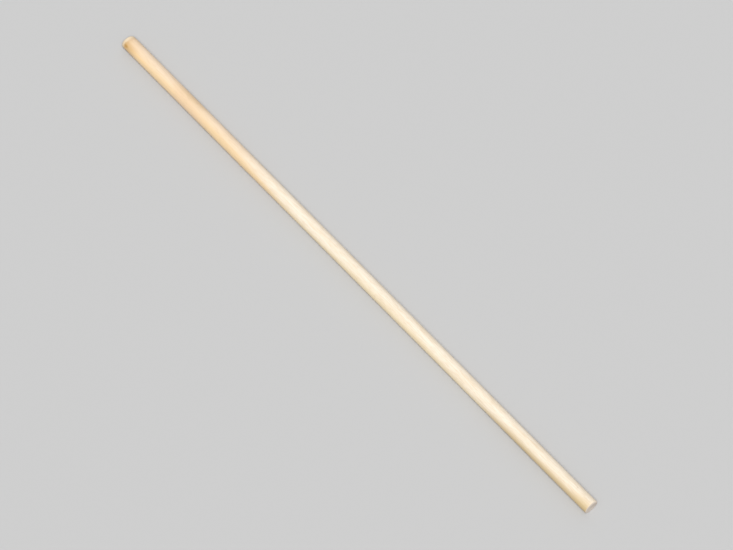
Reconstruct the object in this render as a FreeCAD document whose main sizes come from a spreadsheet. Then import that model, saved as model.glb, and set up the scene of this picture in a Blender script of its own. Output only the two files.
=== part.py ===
import FreeCAD, Part
import math
import os

import Sketcher

# A plain wooden pole for a paint roller, in millimetres.  It lies along X on the
# plane z = 0, with the middle of its length above the origin.  The roller pushes
# on at the square-sawn tool end, at +X.  The hand end, at -X, is sawn a little
# askew and rounded over, and its longest fibre, on the -Y side, ends at half the
# pole's length from the origin.

DIMENSIONS = {
    "pole_length": 1200,
    "pole_diameter": 27,
    "saw_waste": 20,
    "hand_end_skew_deg": 5.5,
    "hand_end_rounding": 3.5,
    "tool_end_chamfer": 0.6,
}

# What the expressions call the cells of the sheet.
HALF_LENGTH = "dimensions.pole_length / 2"
DIAMETER = "dimensions.pole_diameter"
RADIUS = "dimensions.pole_diameter / 2"
WASTE = "dimensions.saw_waste"
SKEW = "dimensions.hand_end_skew_deg"
ROUNDING = "dimensions.hand_end_rounding"


def make_sheet(doc):
    """The driving dimensions, one aliased cell each."""
    sheet = doc.addObject("Spreadsheet::Sheet", "dimensions")
    for row, (alias, value) in enumerate(DIMENSIONS.items(), start=1):
        sheet.set(f"A{row}", alias)
        sheet.set(f"B{row}", str(value))
        sheet.setAlias(f"B{row}", alias)
    doc.recompute()
    return sheet


def add_sketch(body, name, role):
    """An empty sketch on one of the body's own origin planes."""
    plane = next(f for f in body.Origin.OriginFeatures if f.Role == role)
    sketch = body.newObject("Sketcher::SketchObject", name)
    sketch.AttachmentSupport = [(plane, "")]
    sketch.MapMode = "FlatFace"
    return sketch


def constrain(sketch, name, expression, *what):
    """A dimension of the sketch, named and bound to the sheet."""
    index = sketch.addConstraint(Sketcher.Constraint(*what))
    sketch.renameConstraint(index, name)
    sketch.setExpression(f"Constraints.{name}", expression)


def turned_rod(body):
    """The rod as it leaves the dowel machine, with some waste at the hand end."""
    sketch = add_sketch(body, "section", "YZ_Plane")
    centre = FreeCAD.Vector(0, 0, 0)
    circle = sketch.addGeometry(
        Part.Circle(centre, FreeCAD.Vector(0, 0, 1), DIMENSIONS["pole_diameter"] / 2)
    )
    sketch.addConstraint(Sketcher.Constraint("Coincident", circle, 3, -1, 1))
    constrain(sketch, "diameter", DIAMETER,
              "Diameter", circle, DIMENSIONS["pole_diameter"])
    rod = body.newObject("PartDesign::Pad", "rod")
    rod.Profile = sketch
    rod.SideType = "Two sides"
    rod.setExpression("Length", HALF_LENGTH)
    rod.setExpression("Length2", f"{HALF_LENGTH} + {WASTE}")
    return rod


def skewed_saw_cut(body):
    """The waste sawn off the hand end.

    The saw's plane is vertical.  It is placed so that the pole keeps its whole
    length where the rounding of the -Y side reaches furthest.
    """
    half_length = DIMENSIONS["pole_length"] / 2
    reach = DIMENSIONS["pole_diameter"]
    waste_end = half_length + 2 * DIMENSIONS["saw_waste"]
    slant = reach * math.tan(math.radians(DIMENSIONS["hand_end_skew_deg"]))
    sketch = add_sketch(body, "hand_end_waste", "XY_Plane")
    corners = [
        FreeCAD.Vector(-half_length - slant, -reach, 0),
        FreeCAD.Vector(-half_length + slant, reach, 0),
        FreeCAD.Vector(-waste_end, reach, 0),
        FreeCAD.Vector(-waste_end, -reach, 0),
    ]
    for start, end in zip(corners, corners[1:] + corners[:1]):
        sketch.addGeometry(Part.LineSegment(start, end))
    saw_line, far_side, end_line, near_side = range(4)
    for line in range(4):
        sketch.addConstraint(
            Sketcher.Constraint("Coincident", line, 2, (line + 1) % 4, 1)
        )
    sketch.addConstraint(Sketcher.Constraint("Horizontal", far_side))
    sketch.addConstraint(Sketcher.Constraint("Horizontal", near_side))
    sketch.addConstraint(Sketcher.Constraint("Vertical", end_line))
    constrain(sketch, "reach_far", DIAMETER, "DistanceY", -1, 1, saw_line, 2, reach)
    constrain(sketch, "reach_near", DIAMETER, "DistanceY", saw_line, 1, -1, 1, reach)
    constrain(sketch, "waste_end", f"{HALF_LENGTH} + 2 * {WASTE}",
              "DistanceX", end_line, 1, -1, 1, waste_end)

    # How far from the origin the saw crosses the pole's axis, then each side.
    on_axis = (
        f"{HALF_LENGTH} - ({RADIUS} - {ROUNDING}) * tan({SKEW})"
        f" + {ROUNDING} * (1 / cos({SKEW}) - 1)"
    )
    constrain(sketch, "saw_near", f"{on_axis} + {DIAMETER} * tan({SKEW})",
              "DistanceX", saw_line, 1, -1, 1, half_length + slant)
    constrain(sketch, "saw_far", f"{on_axis} - {DIAMETER} * tan({SKEW})",
              "DistanceX", saw_line, 2, -1, 1, half_length - slant)

    cut = body.newObject("PartDesign::Pocket", "hand_end_saw_cut")
    cut.Profile = sketch
    cut.Type = "ThroughAll"
    cut.Midplane = True
    return cut


def rim_at(feature, x_sign):
    """The name of the round edge at one end of the pole."""
    found = max(
        range(len(feature.Shape.Edges)),
        key=lambda i: x_sign * feature.Shape.Edges[i].CenterOfMass.x,
    )
    return f"Edge{found + 1}"


def make_pole(doc):
    """The whole pole: one piece of wood."""
    body = doc.addObject("PartDesign::Body", "pole")
    body.Label = "pole"
    rod = turned_rod(body)
    doc.recompute()
    cut = skewed_saw_cut(body)
    doc.recompute()
    require_less(cut, rod)

    rounding = body.newObject("PartDesign::Fillet", "hand_end_rounding")
    rounding.Base = (cut, [rim_at(cut, -1)])
    rounding.setExpression("Radius", ROUNDING)
    doc.recompute()
    require_less(rounding, cut)

    chamfer = body.newObject("PartDesign::Chamfer", "tool_end_chamfer")
    chamfer.Base = (rounding, [rim_at(rounding, 1)])
    chamfer.setExpression("Size", "dimensions.tool_end_chamfer")
    doc.recompute()
    require_less(chamfer, rounding)

    body.setExpression(".Placement.Base.z", RADIUS)
    return body


def require_less(after, before):
    """Each cut has to take wood away."""
    if not 0 < after.Shape.Volume < before.Shape.Volume:
        raise RuntimeError(f"{after.Name} cut nothing from {before.Name}")


def check(doc, subparts):
    """Stop before anything is written if the document didn't build."""
    for thing in doc.Objects:
        if "Invalid" in thing.State or "Error" in thing.State:
            raise RuntimeError(f"{thing.Name} failed: {thing.State}")
    for subpart in subparts:
        if subpart.Shape.isNull() or not subpart.Shape.isValid():
            raise RuntimeError(f"{subpart.Label} has no valid shape")


def main():
    os.makedirs("parts", exist_ok=True)
    doc = FreeCAD.newDocument("roller_extension_pole")
    make_sheet(doc)
    subparts = [make_pole(doc)]
    doc.recompute()
    check(doc, subparts)
    for subpart in subparts:
        subpart.Shape.exportStep(f"parts/{subpart.Label}.step")
        box = subpart.Shape.optimalBoundingBox()
        print(subpart.Label, "volume", round(subpart.Shape.Volume, 1), "box", box)


main()
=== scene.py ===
import math
from collections import namedtuple

import bpy
import numpy as np
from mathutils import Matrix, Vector, noise


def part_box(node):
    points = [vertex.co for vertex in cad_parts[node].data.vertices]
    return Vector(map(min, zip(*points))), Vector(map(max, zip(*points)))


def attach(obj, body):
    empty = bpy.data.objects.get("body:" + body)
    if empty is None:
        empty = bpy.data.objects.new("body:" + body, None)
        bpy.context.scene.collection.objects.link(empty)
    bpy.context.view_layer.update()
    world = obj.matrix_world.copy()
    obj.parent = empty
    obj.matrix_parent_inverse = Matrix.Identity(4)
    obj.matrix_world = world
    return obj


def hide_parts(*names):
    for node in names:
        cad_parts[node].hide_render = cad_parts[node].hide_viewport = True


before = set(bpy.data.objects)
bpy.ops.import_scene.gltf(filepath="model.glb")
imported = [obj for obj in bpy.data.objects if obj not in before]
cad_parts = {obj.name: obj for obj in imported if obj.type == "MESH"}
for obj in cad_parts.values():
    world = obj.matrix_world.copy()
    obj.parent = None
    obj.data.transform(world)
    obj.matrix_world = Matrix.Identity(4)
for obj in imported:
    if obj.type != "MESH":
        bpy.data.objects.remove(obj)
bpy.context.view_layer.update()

# A bare wooden pole for a paint roller.  It lies along X on the floor z = 0, with
# its square-sawn tool end at +X and its rounded, slightly skewed hand end at -X.
# The pole's own sizes are in millimetres and its vertices in metres.  y and z are
# measured from the pole's axis, and angles go round it from +Y towards +Z.
MM = 0.001

# The section: how far inside the CAD solid the wood stays, and how far out of round.
LOW, HIGH = (tuple(v / MM for v in corner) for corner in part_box("pole"))
AXIS_Z = (LOW[2] + HIGH[2]) / 2
INSET = 0.06
OVAL, OVAL_ANGLE = 0.05, math.radians(35)
MEAN_RADIUS = (HIGH[2] - LOW[2]) / 2 - INSET - OVAL
HAND_X = LOW[0] + INSET
TOOL_X = HIGH[0] - INSET

# The surface along the grain: slow waves, latewood that stands proud, and fibres,
# whose noise is shifted off the waves' noise.
WAVE_HEIGHT, WAVE_LENGTH, WAVES_ROUND = 0.035, 75, 1.1
LATEWOOD_HEIGHT, LATEWOOD_LEVEL = 0.022, 0.3
FIBRE_HEIGHT, FIBRE_LENGTH, FIBRE_SHIFT = 0.012, 16, 40

# The hand end: sawn askew, so that its -Y side is longer, then rounded over by hand.
SKEW = math.tan(math.radians(5.5))
ROUNDING, ROUNDING_UNEVEN = 3.5, 0.16
HAND_FACE_UNEVEN, HAND_FACE_BLOB = 0.05, 6

# The tool end: a ragged chamfer with one chip, whose reach is in radians and whose
# size is in chamfers, and the saw's ridges across the face.
TOOL_CHAMFER, CHAMFER_UNEVEN, CHAMFER_RAGGED = 0.45, 0.40, 0.30
CHIP_ANGLE, CHIP_REACH, CHIP_SIZE = math.radians(128), 0.11, 1.1
TOOL_FACE_SETBACK = 0.03
RIDGE_HEIGHT, RIDGE_PITCH, RIDGE_UP, RIDGE_ACROSS = 0.02, 2.6, 0.94, 0.34
RIDGE_WOBBLE, RIDGE_WOBBLE_SIZE = 0.6, 5

# On both faces the latewood stands back a little, and all unevenness fades out at
# the rim: 6 means over the outermost sixth of the radius.
FACE_LATEWOOD_DEPTH = 0.02
FACE_FADE = 6

# The mesh: points round the section, eight for each ring of a cap, rows along it, and
# how sharply faces have to meet for their edge to look sharp.
CAP_RINGS = 24
AROUND = 8 * CAP_RINGS
ROUNDING_ROWS = 9
SIDE_ROWS = 440
CHAMFER_ROWS = 3
SHARP_ANGLE = math.radians(32)

# The tree that the pole was cut from.  Its pith runs beside the pole and wanders,
# so the growth rings cross the pole's surface at a slant and meet its ends as arcs.
# In each ring the latewood rises by a power of the way across, up to its peak.
PITH_Y, PITH_Z = -21.0, -34.0
PITH_SLOPE_Y, PITH_SLOPE_Z = 0.0045, -0.006
PITH_BEND_Y, PITH_BEND_Z = 1.6, 2.2
PITH_WAVE_Y, PITH_WAVE_Z = 410.0, 560.0
RING_PITCH = 2.7
RING_UNEVEN, RING_UNEVEN_RATE = 0.22, 1.9
LATEWOOD_POWER, LATEWOOD_PEAK = 4, 0.9

# A sliver on the -Y side: its root is at its hand end, its tip has lifted, a gutter
# runs along both its edges, and a scar goes on beyond its tip.
SLIVER_ROOT, SLIVER_TIP = -290.0, -281.0
SLIVER_ANGLE = math.radians(199)
SLIVER_HALF_WIDTH, SLIVER_NARROWING = 1.5, 0.55
SLIVER_LIFT, SLIVER_CURL = 0.74, 1.7
GUTTER_DEPTH, GUTTER_OFFSET, GUTTER_REACH = 0.16, 0.35, 0.45
SCAR_DEPTH, SCAR_LENGTH, SCAR_FADE = 0.34, 9.0, 1.5
SCAR_WIDTH, SCAR_NARROWING = 0.75, 0.5

# A swelling beside the sliver, and dents, whose height is below 0.  They fade out
# smoothly, and aren't counted beyond this many half-lengths.
MARK_REACH = 2.5
Mark = namedtuple("Mark", "x angle length width height")
MARKS = [
    Mark(-267.5, math.radians(199), 8.0, 2.6, 0.34),
    Mark(-418.0, math.radians(62), 7.0, 3.2, -0.22),
    Mark(-121.0, math.radians(318), 5.0, 4.2, -0.30),
    Mark(66.0, math.radians(150), 11.0, 2.4, -0.16),
    Mark(243.0, math.radians(20), 4.5, 3.6, -0.26),
    Mark(395.0, math.radians(232), 6.5, 3.0, -0.24),
    Mark(562.0, math.radians(75), 4.0, 3.4, -0.30),
]

# Clean wood, and the same wood tanned.  The heartwood colours go on the pith side, which is the
# lower side. They are yellower and a little darker: partly the wood's own colour, and partly
# painted shade of the lower side.
SAPWOOD, HEARTWOOD_AND_SHADE = (0.865, 0.780, 0.655), (0.850, 0.725, 0.485)
TANNED_SAPWOOD, TANNED_HEARTWOOD_AND_SHADE = (0.840, 0.665, 0.500), (0.855, 0.625, 0.350)

# Colours that go over it, each with the share of it that they cover at most.
Tint = namedtuple("Tint", "colour strength")
DEEPEST_TAN = Tint((0.800, 0.575, 0.370), 0.80)
YELLOWED = Tint((0.573, 0.431, 0.197), 0.85)
LATEWOOD = Tint((0.66, 0.46, 0.26), 0.26)
STREAKS = Tint((0.72, 0.55, 0.36), 0.18)
MOTTLE = Tint((0.70, 0.52, 0.31), 0.26)
SPECKLE = Tint((0.62, 0.46, 0.28), 0.32)
FIBRES = Tint((0.74, 0.57, 0.38), 0.22)
FLECKS = Tint((0.48, 0.31, 0.17), 0.30)
GRIME = Tint((0.50, 0.37, 0.24), 0.30)
TORN = Tint((0.72, 0.52, 0.27), 0.55)
HANDLED = Tint((0.75, 0.53, 0.31), 0.52)
DARKEST = Tint((0.56, 0.365, 0.185), 0.68)
AMBER = Tint((0.52, 0.295, 0.075), 0.50)
SOCKETED = Tint((0.64, 0.47, 0.22), 0.46)
WORN = Tint((0.77, 0.66, 0.49), 0.75)

# End grain shows where the surface faces along X, from barely to squarely enough.
END_GRAIN_FACING = (0.55, 0.92)
END_SAPWOOD, END_HEARTWOOD = (0.50, 0.42, 0.355), (0.71, 0.63, 0.55)
# Painted light: a pale tint over the end grain towards the top of each face and towards its rim, as
# if lit through the wood from above.
END_PAINTED_LIGHT = Tint((0.94, 0.82, 0.70), 0.90)
END_LATEWOOD = Tint((0.46, 0.36, 0.29), 0.55)
END_PORES = Tint((0.38, 0.30, 0.23), 0.35)
END_HANDLED = Tint((0.57, 0.41, 0.25), 0.60)

# Where along the pole those colours set in: not at all at the first x, and in full
# at the second.  The heart side's tan reaches further towards the tool end.
TANNED_X, HEART_TAN_LEAD = (-175, -345), 85.0
DEEPEST_X, DEEPEST_END_X = (-372, -415), (-490, -445)
YELLOWED_X = (290, 420)
HANDLED_X, DARKEST_X, AMBER_X = (-545, -586), (-583, -597), (-556, -590)
SOCKETED_X = (552, 590)
WORN_X = (-589.8, -595.4)
END_HANDLED_X = (0, -10)

# Where across the pole they do: the amber and socketed flanks by y, and the end grain's painted
# light, paler towards the top, by height, to which the distance from the axis adds its share.
AMBER_Y = (1, -9)
SOCKETED_Y, SOCKETED_LEAST = (4, -9), 0.12
PAINTED_LIGHT_Z, PAINTED_LIGHT_RIM = (-1.0, 15.0), 0.35

# How far from the pith the heartwood's colours hold, and how far they have faded out.  For the
# first two, that is also where the painted shade on the lower side fades out.
HEART_AND_SHADE_REACH = (37, 49)
TANNED_HEART_AND_SHADE_REACH = (40, 52)
YELLOWED_REACH = (42, 54)
END_HEART_REACH = (35, 50)

# Spots of colour.  squeeze says how much nearer things count along each axis, and
# inner and outer are where the fall from the spot's colour to none begins and ends.
# That edge is ragged by a share of outer.
SPOT_RAGGEDNESS = 0.25
Spot = namedtuple("Spot", "middle squeeze inner outer tint")
PATCH = Spot((-427, 7.6, 11.1), (0.22, 1, 1), 3.0, 10.0, Tint((0.68, 0.49, 0.29), 0.65))
WARM_STREAK = Spot((-572, -10.2, 8.8), (0.10, 1, 1), 1.6, 5.0, Tint((0.88, 0.60, 0.28), 0.50))
SMUDGE = Spot((-589, 0.4, 13.3), (0.40, 1, 1), 0.6, 4.2, Tint((0.58, 0.42, 0.25), 0.50))
STAIN = Spot((-589.6, -11.2, 7.3), (0.55, 1, 1), 0.9, 4.2, Tint((0.46, 0.245, 0.045), 0.72))

# Bare sanded wood's gloss: tan and latewood are smoother, and end grain is rough.
SIDE_ROUGHNESS, END_ROUGHNESS = (0.44, 0.56), 0.84
TANNED_SMOOTHER, LATEWOOD_SMOOTHER = 0.04, 0.05
SPECULAR_LEVEL = 0.7

# The camera: degrees round from -Y towards +X and above the floor, and metres, but
# millimetres for its lens and its sensor.
CAMERA_AZIMUTH, CAMERA_ELEVATION = 48.55, 62.57
CAMERA_DISTANCE = 8.35
CAMERA_LENS, CAMERA_SENSOR_WIDTH = 240.0, 36.0
CAMERA_AIM = Vector((0.0248, 0.0079, 0.0135))
CAMERA_SEES_TO = 100.0

# The studio.
FLOOR_REACH = 50.0
FLOOR_COLOUR, FLOOR_ROUGHNESS = (0.48, 0.48, 0.48), 0.9
WORLD_STRENGTH = 0.36


def ring_count(x, y, z):
    """How many growth rings lie between the pith and this point."""
    pith_y = PITH_Y + PITH_SLOPE_Y * x + PITH_BEND_Y * math.sin(x * math.tau / PITH_WAVE_Y)
    pith_z = PITH_Z + PITH_SLOPE_Z * x + PITH_BEND_Z * math.sin(x * math.tau / PITH_WAVE_Z)
    rings = math.hypot(y - pith_y, z - pith_z) / RING_PITCH
    return rings + RING_UNEVEN * math.sin(rings * RING_UNEVEN_RATE)


def latewood(rings):
    """The dense outer part of a ring, 0 to 1: it fades in and stops sharply."""
    share = rings % 1.0
    if share < LATEWOOD_PEAK:
        return share ** LATEWOOD_POWER
    return LATEWOOD_PEAK ** LATEWOOD_POWER * (1 - share) / (1 - LATEWOOD_PEAK)


def sliver(x, around):
    """The lifted sliver and the scar beyond its tip.  around is mm from its middle line."""
    if not SLIVER_ROOT < x < SLIVER_TIP + SCAR_LENGTH:
        return 0.0
    if x <= SLIVER_TIP:
        along = (x - SLIVER_ROOT) / (SLIVER_TIP - SLIVER_ROOT)
        half_width = SLIVER_HALF_WIDTH * (1 - SLIVER_NARROWING * along)
        ridge = max(0.0, 1 - (around / half_width) ** 4)
        off_gutter = abs(around) - half_width - GUTTER_OFFSET
        gutter = math.exp(-((off_gutter / GUTTER_REACH) ** 2))
        return SLIVER_LIFT * along ** SLIVER_CURL * ridge - GUTTER_DEPTH * along * gutter
    along = (x - SLIVER_TIP) / SCAR_LENGTH
    half_width = SLIVER_HALF_WIDTH * (SCAR_WIDTH - SCAR_NARROWING * along)
    hollow = max(0.0, 1 - (around / half_width) ** 2)
    return -SCAR_DEPTH * (1 - along) ** SCAR_FADE * hollow


def relief(x, angle):
    """How far the wood stands off the mean radius here, in mm."""
    y, z = math.cos(angle), math.sin(angle)
    side = MEAN_RADIUS
    oval = OVAL * math.cos(2 * (angle - OVAL_ANGLE))
    wave = WAVE_HEIGHT * noise.noise(Vector((x / WAVE_LENGTH, y * WAVES_ROUND, z * WAVES_ROUND)))
    rings = ring_count(x, side * y, side * z)
    raised = LATEWOOD_HEIGHT * (latewood(rings) - LATEWOOD_LEVEL)
    fibre = FIBRE_HEIGHT * noise.noise(Vector((x / FIBRE_LENGTH, side * y, side * z + FIBRE_SHIFT)))
    marks = sliver(x, side * math.remainder(angle - SLIVER_ANGLE, math.tau))
    for mark in MARKS:
        along = (x - mark.x) / (mark.length / 2)
        if abs(along) < MARK_REACH:
            turn = math.remainder(angle - mark.angle, math.tau)
            across = side * turn / (mark.width / 2)
            marks += mark.height * math.exp(-(along ** 2 + across ** 2))
    return oval + wave + raised + fibre + marks


def on_side(x, angle):
    """The point of the side at x and this angle."""
    return (x, MEAN_RADIUS * math.cos(angle), MEAN_RADIUS * math.sin(angle))


def side_stations():
    """Places along the side, 0 at the hand end and 1 at the tool end, closer at marks and ends."""
    fine_steps = 12001
    fine = np.linspace(HAND_X, TOOL_X, fine_steps)
    density = np.ones(fine.shape)
    # Each is (middle, how far it reaches, how many more rows stand there).
    crowded = [
        (HAND_X, 8.0, 2.0),
        (TOOL_X, 8.0, 2.0),
        (SLIVER_TIP, 9.0, 3.5),
        (SLIVER_TIP, 0.6, 14.0),
    ]
    crowded += [(mark.x, mark.length * 0.9, 2.2) for mark in MARKS]
    for middle, reach, extra in crowded:
        density += extra * np.exp(-(((fine - middle) / reach) ** 2))
    total = np.concatenate([[0.0], np.cumsum((density[1:] + density[:-1]) / 2)])
    steps = np.interp(np.linspace(0, total[-1], SIDE_ROWS), total, fine)
    return (steps - steps[0]) / (steps[-1] - steps[0])


def saw_plane_x(y):
    """Where the skewed cut at the hand end stands, for a point at y."""
    on_axis = HAND_X + (MEAN_RADIUS - ROUNDING) * SKEW
    on_axis += ROUNDING * (math.hypot(1, SKEW) - 1)
    return on_axis + y * SKEW


def noise_round(angle, fineness, layer):
    """Noise that meets itself once round: more fineness gives more waves, each layer its own."""
    return noise.noise(Vector((math.cos(angle) * fineness, math.sin(angle) * fineness, layer)))


def rounding_at(angle):
    """The hand end was rounded over by hand, so its radius is uneven."""
    return ROUNDING * (1 + ROUNDING_UNEVEN * noise_round(angle, fineness=1.3, layer=7))


def chamfer_at(angle):
    """The saw left the tool end's rim a little ragged, and a knock chipped it in one place."""
    uneven = CHAMFER_UNEVEN * noise_round(angle, fineness=5, layer=3)
    ragged = CHAMFER_RAGGED * noise_round(angle, fineness=16, layer=5)
    off_chip = math.remainder(angle - CHIP_ANGLE, math.tau) / CHIP_REACH
    return TOOL_CHAMFER * (1 + uneven + ragged + CHIP_SIZE * math.exp(-(off_chip ** 2)))


def outline_rows():
    """The skin of the pole from cap to cap: rows of points, each once round the section."""
    angles = [math.tau * i / AROUND for i in range(AROUND)]
    rows = []
    for step in range(ROUNDING_ROWS):
        turn = math.radians(90) * (1 - step / ROUNDING_ROWS)
        row = []
        for angle in angles:
            corner = rounding_at(angle)
            radius = MEAN_RADIUS + relief(HAND_X, angle) - corner * (1 - math.cos(turn))
            y = radius * math.cos(angle)
            x = saw_plane_x(y) + corner * (1 - math.sin(turn))
            row.append((x, y, radius * math.sin(angle)))
        rows.append(row)
    for station in side_stations():
        row = []
        for angle in angles:
            start = saw_plane_x(MEAN_RADIUS * math.cos(angle)) + rounding_at(angle)
            end = TOOL_X - chamfer_at(angle)
            x = start + (end - start) * station
            radius = MEAN_RADIUS + relief(x, angle)
            row.append((x, radius * math.cos(angle), radius * math.sin(angle)))
        rows.append(row)
    for step in range(1, CHAMFER_ROWS + 1):
        turn = math.radians(90) * step / CHAMFER_ROWS
        row = []
        for angle in angles:
            corner = chamfer_at(angle)
            radius = MEAN_RADIUS + relief(TOOL_X, angle) - corner * (1 - math.cos(turn))
            x = TOOL_X - corner * (1 - math.sin(turn))
            row.append((x, radius * math.cos(angle), radius * math.sin(angle)))
        rows.append(row)
    return rows


def hand_face(y, z):
    """The height of the hand end's face over its saw plane, sanded almost smooth."""
    uneven = noise.noise(Vector((y / HAND_FACE_BLOB, z / HAND_FACE_BLOB, 11)))
    rings = ring_count(HAND_X, y, z)
    return HAND_FACE_UNEVEN * uneven - FACE_LATEWOOD_DEPTH * latewood(rings)


def tool_face(y, z):
    """The same at the tool end, where the saw left ridges."""
    wobble = noise.noise(Vector((y / RIDGE_WOBBLE_SIZE, z / RIDGE_WOBBLE_SIZE, 0)))
    crossing = (z * RIDGE_UP + y * RIDGE_ACROSS) * math.tau / RIDGE_PITCH
    ridges = math.sin(crossing + RIDGE_WOBBLE * wobble)
    rings = ring_count(TOOL_X, y, z)
    return -TOOL_FACE_SETBACK + RIDGE_HEIGHT * ridges - FACE_LATEWOOD_DEPTH * latewood(rings)


def cap_grid():
    """A disc of square faces.  Each point is (ring, place round it), rings have 8 points each."""
    def place(i, j):
        ring = max(abs(i), abs(j))
        if ring == 0:
            return (0, 0)
        if abs(i) >= abs(j):
            eighth = j / i + (4 if i < 0 else 0)
        else:
            eighth = 2 - i / j + (4 if j < 0 else 0)
        return (ring, round(eighth * ring) % (8 * ring))

    size = range(-CAP_RINGS, CAP_RINGS)
    return [
        [place(i, j), place(i + 1, j), place(i + 1, j + 1), place(i, j + 1)]
        for i in size for j in size
    ]


class Skin:
    """Vertices, faces and the places of the faces' corners on the flattened skin."""

    def __init__(self):
        self.points, self.faces, self.corners = [], [], []

    def add_side(self, rows):
        """The side, and for each corner (mm along the skin, share round it from the underside)."""
        self.points += [p for row in rows for p in row]
        along = [0.0]
        for before, after in zip(rows, rows[1:]):
            along.append(along[-1] + math.dist(before[0], after[0]))
        underside = AROUND * 3 // 4
        for r in range(len(rows) - 1):
            for i in range(AROUND):
                j = (i + 1) % AROUND
                self.faces.append((r * AROUND + i, r * AROUND + j,
                                   (r + 1) * AROUND + j, (r + 1) * AROUND + i))
                near = ((i - underside) % AROUND) / AROUND
                far = near + 1 / AROUND
                self.corners.append(("side", [(along[r], near), (along[r], far),
                                              (along[r + 1], far), (along[r + 1], near)]))
        return along[-1]

    def add_cap(self, name, rim, rim_start, plane_x, face, flip):
        """A cap inside a rim that is already there: plane_x and face give its shape."""
        made = {}

        def point(ring, step):
            if ring == CAP_RINGS:
                return rim_start + step
            if (ring, step) not in made:
                share = ring / CAP_RINGS
                _, y, z = rim[round(step * CAP_RINGS / ring)] if ring else (0, 0, 0)
                y, z = y * share, z * share
                fade = min(1.0, (1 - share) * FACE_FADE)
                made[ring, step] = len(self.points)
                self.points.append((plane_x(y) + flip * fade * face(y, z), y, z))
            return made[ring, step]

        for quad in cap_grid():
            indices = [point(ring, step) for ring, step in quad]
            if flip < 0:
                indices.reverse()
            self.faces.append(tuple(indices))
            self.corners.append((name, [self.points[i][1:] for i in indices]))


def atlas(skin, skin_length):
    """The bake's map: the side in three long strips, one above another, and the caps above them."""
    strips, gap = 3, 0.008
    strip_length = skin_length / strips
    per_mm = (1 - 2 * gap) / strip_length
    strip_height = 0.285
    cap_width = 0.078
    cap_scale = cap_width / (2 * MEAN_RADIUS)
    cap_v = strips * (strip_height + gap) + gap + MEAN_RADIUS * cap_scale
    cap_u = {"hand": 0.1, "tool": 0.3}
    uvs = []
    for kind, corners in skin.corners:
        if kind == "side":
            middle = (corners[0][0] + corners[2][0]) / 2
            strip = min(int(middle / strip_length), strips - 1)
            uvs += [
                (gap + (s - strip * strip_length) * per_mm,
                 gap + strip * (strip_height + gap) + share * strip_height)
                for s, share in corners
            ]
        else:
            uvs += [(cap_u[kind] + y * cap_scale, cap_v + z * cap_scale) for y, z in corners]
    return uvs


def make_pole():
    """The pole as one closed mesh of quads."""
    rows = outline_rows()
    skin = Skin()
    skin_length = skin.add_side(rows)
    skin.add_cap("hand", rows[0], 0, saw_plane_x, hand_face, -1)
    skin.add_cap("tool", rows[-1], (len(rows) - 1) * AROUND, lambda y: TOOL_X, tool_face, 1)

    mesh = bpy.data.meshes.new("wooden_pole")
    points = [(x * MM, y * MM, (z + AXIS_Z) * MM) for x, y, z in skin.points]
    mesh.from_pydata(points, [], skin.faces)
    layer = mesh.uv_layers.new(name="OFBake")
    layer.data.foreach_set("uv", [c for uv in atlas(skin, skin_length) for c in uv])
    mesh.shade_smooth()
    mesh.set_sharp_from_angle(angle=SHARP_ANGLE)
    mesh.validate()
    pole = bpy.data.objects.new("wooden_pole", mesh)
    bpy.context.scene.collection.objects.link(pole)
    return pole


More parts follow.
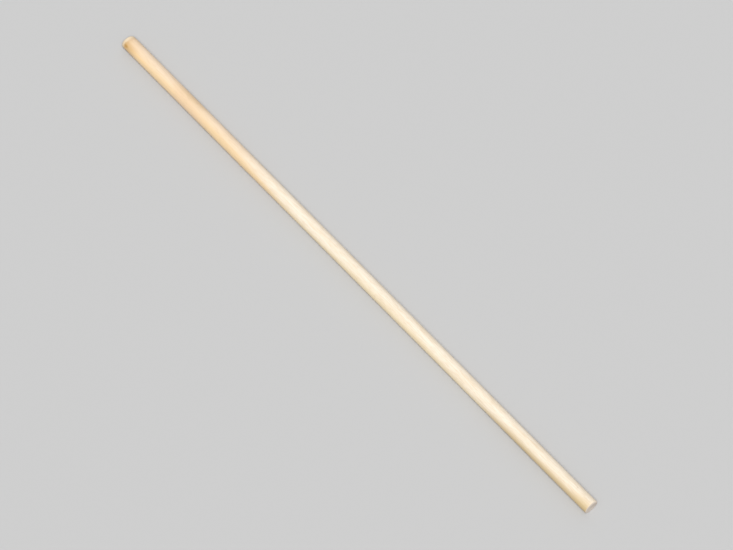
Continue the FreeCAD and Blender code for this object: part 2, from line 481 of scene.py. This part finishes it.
class Recipe:
    """Adds nodes to a material and links them, so that its recipe reads as formulas."""

    def __init__(self, material):
        self.tree = material.node_tree

    def feed(self, socket, value):
        if isinstance(value, bpy.types.NodeSocket):
            self.tree.links.new(value, socket)
        else:
            socket.default_value = value

    def math(self, operation, *values):
        node = self.tree.nodes.new("ShaderNodeMath")
        node.operation = operation
        for socket, value in zip(node.inputs, values):
            self.feed(socket, value)
        return node.outputs[0]

    def add(self, first, *rest):
        for value in rest:
            first = self.math("ADD", first, value)
        return first

    def times(self, a, b):
        return self.math("MULTIPLY", a, b)

    def weighted(self, *pairs):
        """The sum of (value, weight) pairs."""
        return self.add(*[self.times(value, weight) for value, weight in pairs])

    def span(self, value, low, high, to_low=0.0, to_high=1.0, smooth=True):
        """value between low and high, mapped to between to_low and to_high, and clamped."""
        node = self.tree.nodes.new("ShaderNodeMapRange")
        node.interpolation_type = "SMOOTHSTEP" if smooth else "LINEAR"
        for name, number in (("Value", value), ("From Min", low), ("From Max", high),
                             ("To Min", to_low), ("To Max", to_high)):
            self.feed(node.inputs[name], number)
        return node.outputs["Result"]

    def until(self, value, ends):
        """1 up to the first of two ends, and 0 from the second on."""
        return self.span(value, *ends, 1.0, 0.0)

    def ragged(self, pattern, reach):
        """How far a noise pattern, seldom beyond 0.2 to 0.8, moves an edge: -reach to reach."""
        return self.span(pattern, 0.2, 0.8, -reach, reach, smooth=False)

    def axes(self, vector):
        """A vector's X, Y and Z."""
        node = self.tree.nodes.new("ShaderNodeSeparateXYZ")
        self.feed(node.inputs[0], vector)
        return node.outputs

    def scaled(self, vector, scale, shift=(0, 0, 0)):
        node = self.tree.nodes.new("ShaderNodeMapping")
        self.feed(node.inputs["Vector"], vector)
        node.inputs["Scale"].default_value = scale
        node.inputs["Location"].default_value = shift
        return node.outputs[0]

    def noise(self, vector, detail=2.0, roughness=0.5):
        """Smooth noise, 0 to 1, about one blob for each unit of the vector."""
        node = self.tree.nodes.new("ShaderNodeTexNoise")
        self.feed(node.inputs["Vector"], vector)
        node.inputs["Scale"].default_value = 1.0
        node.inputs["Detail"].default_value = detail
        node.inputs["Roughness"].default_value = roughness
        return node.outputs["Fac"]

    def cells(self, vector):
        """The distance to the nearest of scattered points, about one for each unit."""
        node = self.tree.nodes.new("ShaderNodeTexVoronoi")
        self.feed(node.inputs["Vector"], vector)
        node.inputs["Scale"].default_value = 1.0
        return node.outputs["Distance"]

    def near(self, vector, spot, edge):
        """1 at a spot and 0 away from it, with an edge that follows a noise pattern."""
        node = self.tree.nodes.new("ShaderNodeVectorMath")
        node.operation = "DISTANCE"
        self.feed(node.inputs[0], self.scaled(vector, spot.squeeze))
        node.inputs[1].default_value = [m * q for m, q in zip(spot.middle, spot.squeeze)]
        ragged = self.ragged(edge, SPOT_RAGGEDNESS * spot.outer)
        distance = self.add(node.outputs["Value"], ragged)
        return self.until(distance, (spot.inner, spot.outer))

    def mix(self, share, a, b):
        node = self.tree.nodes.new("ShaderNodeMix")
        node.data_type = "RGBA"
        self.feed(node.inputs["Factor"], share)
        colours = [s for s in node.inputs if s.type == "RGBA"]
        for socket, value in zip(colours, (a, b)):
            self.feed(socket, (*value, 1) if isinstance(value, tuple) else value)
        return next(s for s in node.outputs if s.type == "RGBA")

    def tint(self, colour, share, tint):
        """The colour under a tint, which covers this share of its own strength."""
        return self.mix(self.times(share, tint.strength), colour, tint.colour)


class Wood(Recipe):
    """The wood's recipe, with the patterns that its colour, gloss and relief share."""

    def __init__(self, material):
        super().__init__(material)
        place = self.tree.nodes.new("ShaderNodeTexCoord")
        self.mm = self.scaled(place.outputs["Object"], (1 / MM, 1 / MM, 1 / MM), (0, 0, -AXIS_Z))
        self.x, self.y, self.z = self.axes(self.mm)
        facing_x = self.axes(place.outputs["Normal"])["X"]
        self.end_grain = self.span(self.math("ABSOLUTE", facing_x), *END_GRAIN_FACING)
        self.from_pith, self.late = self.growth_rings()

        # Fibres and streaks, long and thin, and blurred mottling and speckle.
        self.fibres = self.noise(self.grained(0.035, 1.6), detail=4, roughness=0.62)
        self.streaks = self.noise(self.grained(0.006, 0.32, (3, 5, 9)), detail=3, roughness=0.55)
        self.mottle = self.noise(self.grained(0.016, 0.125, (2, 7, 5)), detail=3, roughness=0.6)
        self.speckle = self.noise(self.grained(0.070, 0.66, (6, 2, 1)))

        # Short dark flecks, here and there, and pores, where rays and vessels are cut.
        fleck_cells = self.cells(self.grained(0.34, 2.6, (1, 2, 3)))
        fleck_patches = self.span(self.noise(self.grained(0.02, 0.2, (8, 1, 4))), 0.42, 0.62)
        self.flecks = self.times(self.until(fleck_cells, (0.10, 0.26)), fleck_patches)
        self.pores = self.until(self.cells(self.grained(0.15, 3.4)), (0.12, 0.3))
        self.end_pores = self.until(self.cells(self.grained(0.2, 4.2, (4, 4, 4))), (0.14, 0.34))

        # Places along the pole and distances from the pith, for edges that follow the grain.
        self.feathered = self.add(self.x, self.ragged(self.streaks, 30.0),
                                  self.ragged(self.mottle, 26.0), self.ragged(self.fibres, 9.0))
        self.feathered_finely = self.add(self.x, self.ragged(self.fibres, 5.0))
        self.heart_edge = self.add(self.from_pith, self.ragged(self.streaks, 2.0))

        # The pith side, lower down, which is partly heartwood and partly painted shade, and the tan
        # towards the hand end.
        self.heart_and_shade = self.until(self.heart_edge, HEART_AND_SHADE_REACH)
        tan_place = self.add(self.feathered, self.times(self.heart_and_shade, -HEART_TAN_LEAD))
        self.tanned = self.span(tan_place, *TANNED_X)

    def grained(self, along, across, shift=(0, 0, 0)):
        """Coordinates for a pattern that has so many blobs to the mm along and across the grain."""
        return self.scaled(self.mm, (along, across, across), shift)

    def spotted(self, colour, spot, edge):
        """The colour with a spot on it."""
        return self.tint(colour, self.near(self.mm, spot, edge), spot.tint)

    def growth_rings(self):
        """The distance from the pith, with some waviness, and the latewood, as the shape has it."""
        sway_y = self.math("SINE", self.times(self.x, math.tau / PITH_WAVE_Y))
        sway_z = self.math("SINE", self.times(self.x, math.tau / PITH_WAVE_Z))
        pith_y = self.add(PITH_Y, self.weighted((self.x, PITH_SLOPE_Y), (sway_y, PITH_BEND_Y)))
        pith_z = self.add(PITH_Z, self.weighted((self.x, PITH_SLOPE_Z), (sway_z, PITH_BEND_Z)))
        off_y = self.math("POWER", self.math("SUBTRACT", self.y, pith_y), 2.0)
        off_z = self.math("POWER", self.math("SUBTRACT", self.z, pith_z), 2.0)
        waviness = self.noise(self.grained(0.012, 0.09), detail=3)
        from_pith = self.add(self.math("SQRT", self.add(off_y, off_z)),
                             self.span(waviness, 0, 1, -0.5, 0.5, smooth=False))
        rings = self.times(from_pith, 1 / RING_PITCH)
        uneven = self.math("SINE", self.times(rings, RING_UNEVEN_RATE))
        share = self.math("FRACT", self.add(rings, self.times(uneven, RING_UNEVEN)))
        rise = self.math("POWER", share, LATEWOOD_POWER)
        peak = LATEWOOD_PEAK ** LATEWOOD_POWER
        fall = self.span(share, LATEWOOD_PEAK, 1.0, peak, 0.0, smooth=False)
        return from_pith, self.math("MINIMUM", rise, fall)

    def clean_colour(self):
        """Heartwood and sapwood: the heartwood colour, on the lower side nearer the pith, is partly
        painted shade.

        The third at the hand end is tanned, deepest over one stretch and with one patch that is
        deeper still, on the +Y side.  Towards the tool end the pith side has yellowed.
        """
        # The lower, pith side gets the heartwood colours: the wood's own colour, and painted shade
        # of the lower side.
        colour = self.mix(self.heart_and_shade, SAPWOOD, HEARTWOOD_AND_SHADE)
        tanned_heart_and_shade = self.until(self.heart_edge, TANNED_HEART_AND_SHADE_REACH)
        tan = self.mix(tanned_heart_and_shade, TANNED_SAPWOOD, TANNED_HEARTWOOD_AND_SHADE)
        colour = self.mix(self.tanned, colour, tan)
        deepest = self.times(self.span(self.feathered, *DEEPEST_X),
                             self.span(self.feathered, *DEEPEST_END_X))
        colour = self.tint(colour, deepest, DEEPEST_TAN)
        yellowed = self.times(self.span(self.feathered, *YELLOWED_X),
                              self.until(self.heart_edge, YELLOWED_REACH))
        colour = self.tint(colour, yellowed, YELLOWED)
        return self.spotted(colour, PATCH, self.fibres)

    def grain(self, colour):
        """Latewood, streaks, mottling, speckle, fibres and flecks, all darker than the wood."""
        colour = self.tint(colour, self.late, LATEWOOD)
        colour = self.tint(colour, self.span(self.streaks, 0.35, 0.75), STREAKS)
        colour = self.tint(colour, self.span(self.mottle, 0.42, 0.66), MOTTLE)
        colour = self.tint(colour, self.span(self.speckle, 0.44, 0.70), SPECKLE)
        colour = self.tint(colour, self.span(self.fibres, 0.3, 0.75), FIBRES)
        return self.tint(colour, self.flecks, FLECKS)

    def marked(self, colour):
        """Two spots near the hand end, grime in the dents, and the sliver's darker scar."""
        colour = self.spotted(colour, WARM_STREAK, self.fibres)
        colour = self.spotted(colour, SMUDGE, self.streaks)
        for mark in MARKS:
            if mark.height < 0:
                squeeze = (mark.width / mark.length, 1, 1)
                dent = Spot(on_side(mark.x, mark.angle), squeeze, 0.2, 0.62 * mark.width, GRIME)
                colour = self.spotted(colour, dent, self.fibres)
        scar = Spot(on_side(SLIVER_TIP + 2.0, SLIVER_ANGLE), (0.3, 1, 1), 0.5, 1.8, TORN)
        return self.spotted(colour, scar, self.fibres)

    def used(self, colour):
        """Both ends' last centimetres, darkened by hands and by paint rollers' sockets.

        At the hand end the -Y side has turned amber, with a golden stain, and the
        rounded rim, which follows the skewed saw cut, is worn pale.
        """
        colour = self.tint(colour, self.span(self.feathered_finely, *HANDLED_X), HANDLED)
        colour = self.tint(colour, self.span(self.feathered_finely, *DARKEST_X), DARKEST)
        amber = self.times(self.span(self.feathered_finely, *AMBER_X), self.span(self.y, *AMBER_Y))
        colour = self.tint(colour, amber, AMBER)
        colour = self.spotted(colour, STAIN, self.fibres)
        socketed = self.times(self.span(self.feathered_finely, *SOCKETED_X),
                              self.span(self.y, *SOCKETED_Y, SOCKETED_LEAST, 1.0))
        colour = self.tint(colour, socketed, SOCKETED)
        from_saw_cut = self.add(self.x, self.times(self.y, -SKEW),
                                self.ragged(self.fibres, 0.8), self.ragged(self.streaks, 1.2))
        return self.tint(colour, self.span(from_saw_cut, *WORN_X), WORN)

    def end_colour(self):
        """End grain: greyer, paler nearer the pith, with painted light that makes it paler towards
        the upper rim, and with open pores.
        """
        colour = self.mix(self.until(self.from_pith, END_HEART_REACH), END_SAPWOOD, END_HEARTWOOD)
        y_squared, z_squared = self.times(self.y, self.y), self.times(self.z, self.z)
        from_axis = self.math("SQRT", self.add(y_squared, z_squared))
        # Painted light: the end grain gets paler with height on the face, and towards the rim.
        height = self.add(self.z, self.times(from_axis, PAINTED_LIGHT_RIM))
        colour = self.tint(colour, self.span(height, *PAINTED_LIGHT_Z), END_PAINTED_LIGHT)
        colour = self.tint(colour, self.late, END_LATEWOOD)
        colour = self.tint(colour, self.end_pores, END_PORES)
        return self.tint(colour, self.span(self.x, *END_HANDLED_X), END_HANDLED)

    def roughness(self):
        """Bare sanded wood, smoother where hands hold it."""
        side = self.span(self.fibres, 0.25, 0.75, *SIDE_ROUGHNESS)
        smoother = self.weighted((self.tanned, -TANNED_SMOOTHER), (self.late, -LATEWOOD_SMOOTHER))
        return self.math("MAXIMUM", self.add(side, smoother),
                         self.times(self.end_grain, END_ROUGHNESS))

    def fine_relief(self):
        """A bumped normal.  The weights are heights in mm, and what is below 0 is cut in."""
        saw_lines = self.noise(self.scaled(self.mm, (0.02, 0.5, 2.6), (0, 3, 1)),
                               detail=3, roughness=0.6)
        side = self.weighted((self.fibres, 0.030), (self.late, 0.012),
                             (self.pores, -0.012), (self.flecks, -0.010))
        end = self.weighted((saw_lines, 0.09), (self.end_pores, -0.05), (self.late, 0.02))
        height = self.tree.nodes.new("ShaderNodeMix")
        self.feed(height.inputs["Factor"], self.end_grain)
        self.feed(height.inputs["A"], side)
        self.feed(height.inputs["B"], end)
        bump = self.tree.nodes.new("ShaderNodeBump")
        bump.inputs["Strength"].default_value = 1.0
        bump.inputs["Distance"].default_value = MM
        self.feed(bump.inputs["Height"], height.outputs["Result"])
        return bump.outputs["Normal"]


def wood_material():
    """Pale, close-grained, bare wood, the same solid wood on the side and on the ends."""
    material = bpy.data.materials.new("bare_wood")
    material.use_nodes = True
    wood = Wood(material)
    shader = wood.tree.nodes["Principled BSDF"]
    side_colour = wood.used(wood.marked(wood.grain(wood.clean_colour())))
    colour = wood.mix(wood.end_grain, side_colour, wood.end_colour())
    wood.feed(shader.inputs["Base Color"], colour)
    wood.feed(shader.inputs["Roughness"], wood.roughness())
    wood.feed(shader.inputs["Normal"], wood.fine_relief())
    shader.inputs["Specular IOR Level"].default_value = SPECULAR_LEVEL
    return material


def plain_material(name, colour, roughness):
    """One colour all over."""
    material = bpy.data.materials.new(name)
    material.use_nodes = True
    shader = material.node_tree.nodes["Principled BSDF"]
    shader.inputs["Base Color"].default_value = (*colour, 1)
    shader.inputs["Roughness"].default_value = roughness
    return material


def make_floor():
    """A plain pale floor."""
    r = FLOOR_REACH
    mesh = bpy.data.meshes.new("floor")
    mesh.from_pydata([(-r, -r, 0), (r, -r, 0), (r, r, 0), (-r, r, 0)], [], [(0, 1, 2, 3)])
    mesh.materials.append(plain_material("pale_floor", FLOOR_COLOUR, FLOOR_ROUGHNESS))
    floor = bpy.data.objects.new("floor", mesh)
    bpy.context.scene.collection.objects.link(floor)
    return floor


def towards(azimuth, elevation):
    """The unit vector from the object towards that direction, in degrees."""
    a, e = math.radians(azimuth), math.radians(elevation)
    return Vector((math.sin(a) * math.cos(e), -math.cos(a) * math.cos(e), math.sin(e)))


def make_camera():
    """The camera looks at its aim, with the pole lying across the picture's diagonal."""
    data = bpy.data.cameras.new("camera")
    data.lens = CAMERA_LENS
    data.sensor_width = CAMERA_SENSOR_WIDTH
    data.clip_end = CAMERA_SEES_TO
    camera = bpy.data.objects.new("camera", data)
    back = towards(CAMERA_AZIMUTH, CAMERA_ELEVATION)
    camera.location = CAMERA_AIM + back * CAMERA_DISTANCE
    camera.rotation_euler = (-back).to_track_quat("-Z", "Y").to_euler()
    bpy.context.scene.collection.objects.link(camera)
    bpy.context.scene.camera = camera


def add_light(name, azimuth, elevation, spread, strength):
    """An even, soft light from that direction: spread is how wide it looks, in degrees."""
    data = bpy.data.lights.new(name, "SUN")
    data.angle = math.radians(spread)
    data.energy = strength
    light = bpy.data.objects.new(name, data)
    light.rotation_euler = (-towards(azimuth, elevation)).to_track_quat("-Z", "Y").to_euler()
    bpy.context.scene.collection.objects.link(light)


def make_lights():
    """A soft key beside the camera, a weak fill from behind, and even light all round."""
    add_light("key", azimuth=48, elevation=65, spread=26, strength=3.0)
    add_light("fill", azimuth=228, elevation=38, spread=70, strength=0.25)
    world = bpy.data.worlds.new("studio")
    world.use_nodes = True
    background = world.node_tree.nodes["Background"]
    background.inputs["Color"].default_value = (1, 1, 1, 1)
    background.inputs["Strength"].default_value = WORLD_STRENGTH
    bpy.context.scene.world = world
    bpy.context.scene.view_settings.view_transform = "Standard"


make_camera()
make_lights()
floor = make_floor()

pole = make_pole()
pole.data.materials.append(wood_material())
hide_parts("pole")
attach(pole, "root")
